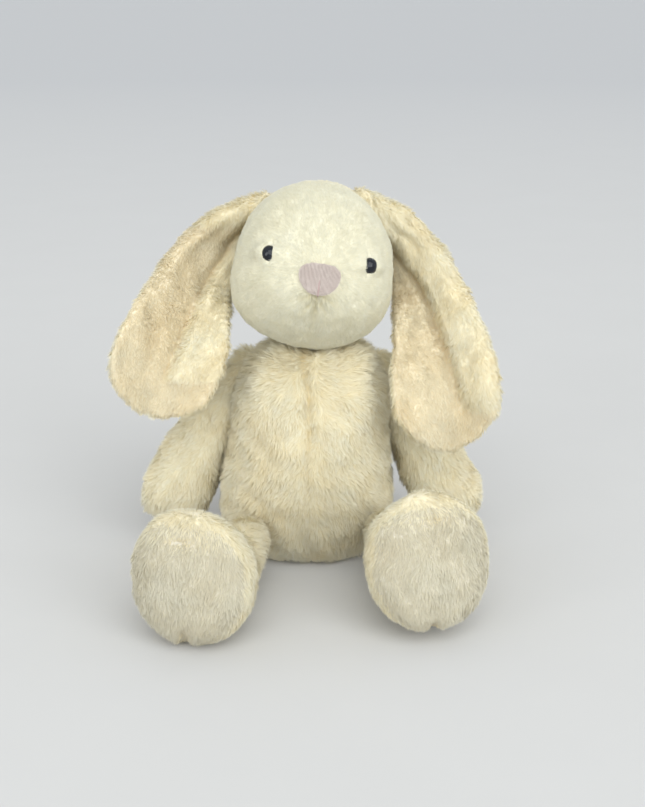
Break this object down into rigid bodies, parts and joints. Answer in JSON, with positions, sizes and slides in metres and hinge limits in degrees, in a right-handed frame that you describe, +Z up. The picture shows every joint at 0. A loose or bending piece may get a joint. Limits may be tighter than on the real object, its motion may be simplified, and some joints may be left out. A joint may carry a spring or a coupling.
{
  "type": "stuffed bunny rabbit",
  "caption": "Sitting cream plush rabbit with long floppy ears, stitched nose, domed eyes, stuffed arms and weighted feet.",
  "frame": {"origin": "on the floor under the middle of the torso, at the point where it sits", "axes": "+Z up, the rabbit faces -Y, and its own left is +X"},
  "size_m": [0.2418, 0.2536, 0.2495],
  "materials": {
    "cream_plush": "long soft pile",
    "ear_lining_plush": "short velvety pile",
    "fibre_filling": "loose fibre",
    "pellet_pouch": "thin woven pouch of pellets",
    "pink_embroidery": "satin stitch",
    "black_eye": "polished",
    "washer_plastic": "moulded",
    "cream_thread": "twisted thread",
    "label_satin": "woven satin, blank"
  },
  "bodies": {
    "torso": {"torso_front_left_panel": "cream_plush", "torso_front_right_panel": "cream_plush", "torso_back_panel": "cream_plush", "torso_filling": "fibre_filling", "seat_bean_bag": "pellet_pouch", "tail_cover": "cream_plush", "tail_filling": "fibre_filling", "care_label": "label_satin"},
    "neck": {"neck_stitching": "cream_thread"},
    "head": {"head_left_panel": "cream_plush", "head_right_panel": "cream_plush", "head_back_panel": "cream_plush", "head_filling": "fibre_filling", "left_eye": "black_eye", "right_eye": "black_eye", "left_eye_washer": "washer_plastic", "right_eye_washer": "washer_plastic", "nose_embroidery": "pink_embroidery"},
    "left_ear": {"left_ear_lining": "ear_lining_plush", "left_ear_back": "cream_plush"},
    "right_ear": {"right_ear_lining": "ear_lining_plush", "right_ear_back": "cream_plush"},
    "left_shoulder": {"left_shoulder_stitching": "cream_thread"},
    "right_shoulder": {"right_shoulder_stitching": "cream_thread"},
    "left_arm": {"left_arm_front_panel": "cream_plush", "left_arm_back_panel": "cream_plush", "left_arm_filling": "fibre_filling"},
    "right_arm": {"right_arm_front_panel": "cream_plush", "right_arm_back_panel": "cream_plush", "right_arm_filling": "fibre_filling"},
    "left_hip": {"left_hip_stitching": "cream_thread"},
    "right_hip": {"right_hip_stitching": "cream_thread"},
    "left_leg": {"left_leg_cover": "cream_plush", "left_foot_sole": "cream_plush", "left_leg_filling": "fibre_filling", "left_foot_bean_bag": "pellet_pouch"},
    "right_leg": {"right_leg_cover": "cream_plush", "right_foot_sole": "cream_plush", "right_leg_filling": "fibre_filling", "right_foot_bean_bag": "pellet_pouch"}
  },
  "joints": [
    {"name": "neck_turn", "type": "hinge", "parent": "torso", "child": "neck", "pos_m": [-0.001, -0.004, 0.144], "axis": [0, 0, 1], "range_deg": [-40, 40]},
    {"name": "head_nod", "type": "hinge", "parent": "neck", "child": "head", "pos_m": [-0.001, -0.004, 0.144], "axis": [1, 0, 0], "range_deg": [-15, 12]},
    {"name": "left_ear_lift", "type": "hinge", "parent": "head", "child": "left_ear", "pos_m": [0.0385, 0.008, 0.239], "axis": [0, -1, 0], "range_deg": [0, 110]},
    {"name": "right_ear_lift", "type": "hinge", "parent": "head", "child": "right_ear", "pos_m": [-0.041, 0.008, 0.2385], "axis": [0, 1, 0], "range_deg": [0, 110]},
    {"name": "left_arm_swing", "type": "hinge", "parent": "torso", "child": "left_shoulder", "pos_m": [0.04674, 0.00949, 0.12977], "axis": [-1, 0, 0], "range_deg": [-50, 30]},
    {"name": "left_arm_spread", "type": "hinge", "parent": "left_shoulder", "child": "left_arm", "pos_m": [0.04674, 0.00949, 0.12977], "axis": [0, -1, 0], "range_deg": [0, 80]},
    {"name": "right_arm_swing", "type": "hinge", "parent": "torso", "child": "right_shoulder", "pos_m": [-0.04868, 0.0098, 0.13002], "axis": [-1, 0, 0], "range_deg": [-50, 30]},
    {"name": "right_arm_spread", "type": "hinge", "parent": "right_shoulder", "child": "right_arm", "pos_m": [-0.04868, 0.0098, 0.13002], "axis": [0, 1, 0], "range_deg": [0, 80]},
    {"name": "left_leg_swing", "type": "hinge", "parent": "torso", "child": "left_hip", "pos_m": [0.04674, -0.04253, 0.02783], "axis": [1, 0, 0], "range_deg": [-8, 90]},
    {"name": "left_leg_splay", "type": "hinge", "parent": "left_hip", "child": "left_leg", "pos_m": [0.04674, -0.04253, 0.02783], "axis": [0, 0, 1], "range_deg": [-12, 40]},
    {"name": "right_leg_swing", "type": "hinge", "parent": "torso", "child": "right_hip", "pos_m": [-0.04301, -0.05403, 0.02735], "axis": [1, 0, 0], "range_deg": [-8, 90]},
    {"name": "right_leg_splay", "type": "hinge", "parent": "right_hip", "child": "right_leg", "pos_m": [-0.04301, -0.05403, 0.02735], "axis": [0, 0, -1], "range_deg": [-12, 40]}
  ]
}
